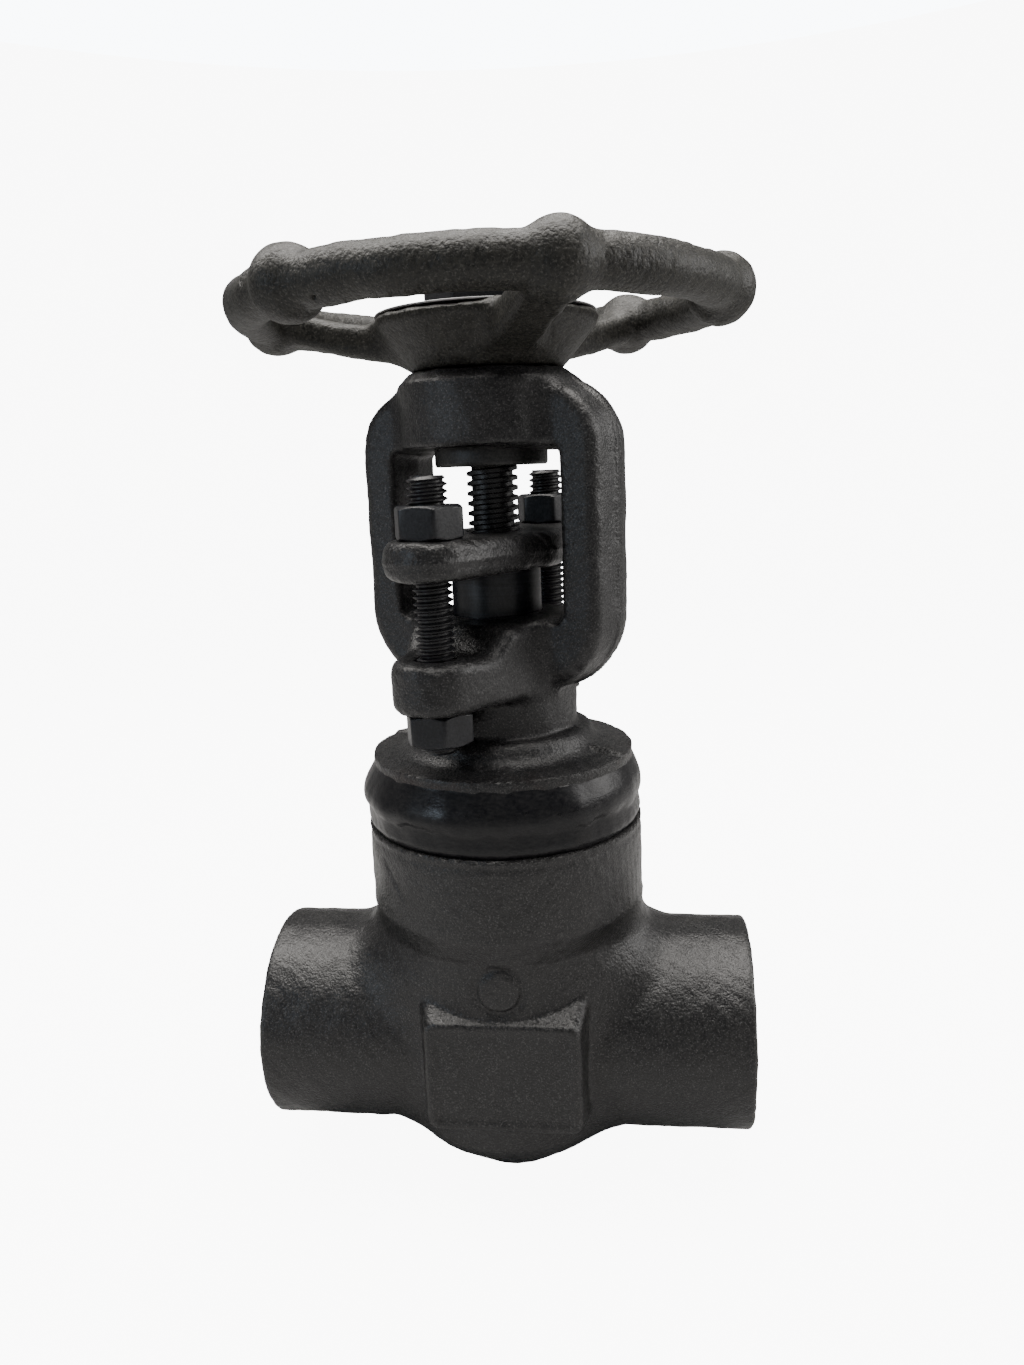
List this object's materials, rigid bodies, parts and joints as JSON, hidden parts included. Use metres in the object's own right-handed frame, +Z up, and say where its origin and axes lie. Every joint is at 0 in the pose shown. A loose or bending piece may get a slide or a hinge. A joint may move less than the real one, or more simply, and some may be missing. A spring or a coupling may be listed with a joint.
{
  "type": "globe valve",
  "caption": "Small forged-steel globe valve, welded bonnet, outside screw and yoke, socket-weld ends and a three-spoke handwheel; turning the wheel lifts the disc off its seat.",
  "frame": {"origin": "where the pipe axis crosses the stem axis, at the middle of the run", "axes": "+X along the pipe from inlet to outlet, +Z up the stem towards the handwheel, -Y towards the side with the raised pad"},
  "size_m": [0.111, 0.106, 0.2065],
  "materials": {
    "forged_steel": "matte",
    "hard_facing": "satin",
    "weld_metal": "satin",
    "bush_metal": "satin",
    "stainless_steel": "satin",
    "graphite": "matte",
    "gland_steel": "matte",
    "stud_steel": "satin",
    "nut_steel": "satin",
    "wheel_iron": "matte",
    "nameplate_metal": "satin"
  },
  "bodies": {
    "valve_body": {"body": "forged_steel", "inlet_end": "forged_steel", "outlet_end": "forged_steel", "seat_facing": "hard_facing", "seal_weld": "weld_metal", "bonnet_yoke": "forged_steel", "yoke_bush": "bush_metal", "packing_seat": "stainless_steel", "packing_ring_1": "graphite", "packing_ring_2": "graphite", "packing_ring_3": "graphite", "packing_ring_4": "graphite", "packing_ring_5": "graphite", "gland_stud_front": "stud_steel", "gland_stud_back": "stud_steel", "lug_nut_front": "nut_steel", "lug_nut_back": "nut_steel"},
    "gland": {"gland_follower": "gland_steel", "gland_flange": "gland_steel", "gland_nut_front": "nut_steel", "gland_nut_back": "nut_steel"},
    "disc_carriage": {"disc": "stainless_steel", "disc_nut": "stainless_steel"},
    "stem_and_wheel": {"stem": "stainless_steel", "handwheel": "wheel_iron", "nameplate": "nameplate_metal", "wheel_nut": "nut_steel"}
  },
  "joints": [
    {"name": "handwheel_turn", "type": "hinge", "parent": "disc_carriage", "child": "stem_and_wheel", "pos_m": [0, 0, 0.15], "axis": [0, 0, 1], "range_deg": [0, 1080]},
    {"name": "stem_lift", "type": "slide", "parent": "valve_body", "child": "disc_carriage", "axis": [0, 0, 1], "range_m": [0, 0.00636]},
    {"name": "gland_take_up", "type": "slide", "parent": "valve_body", "child": "gland", "axis": [0, 0, -1], "range_m": [0, 0.002], "deforming": ["packing_ring_1", "packing_ring_2", "packing_ring_3", "packing_ring_4", "packing_ring_5"]}
  ],
  "couplings": [
    {"joint": "stem_lift", "follows": "handwheel_turn", "m_per_rad": 0.00033693}
  ]
}
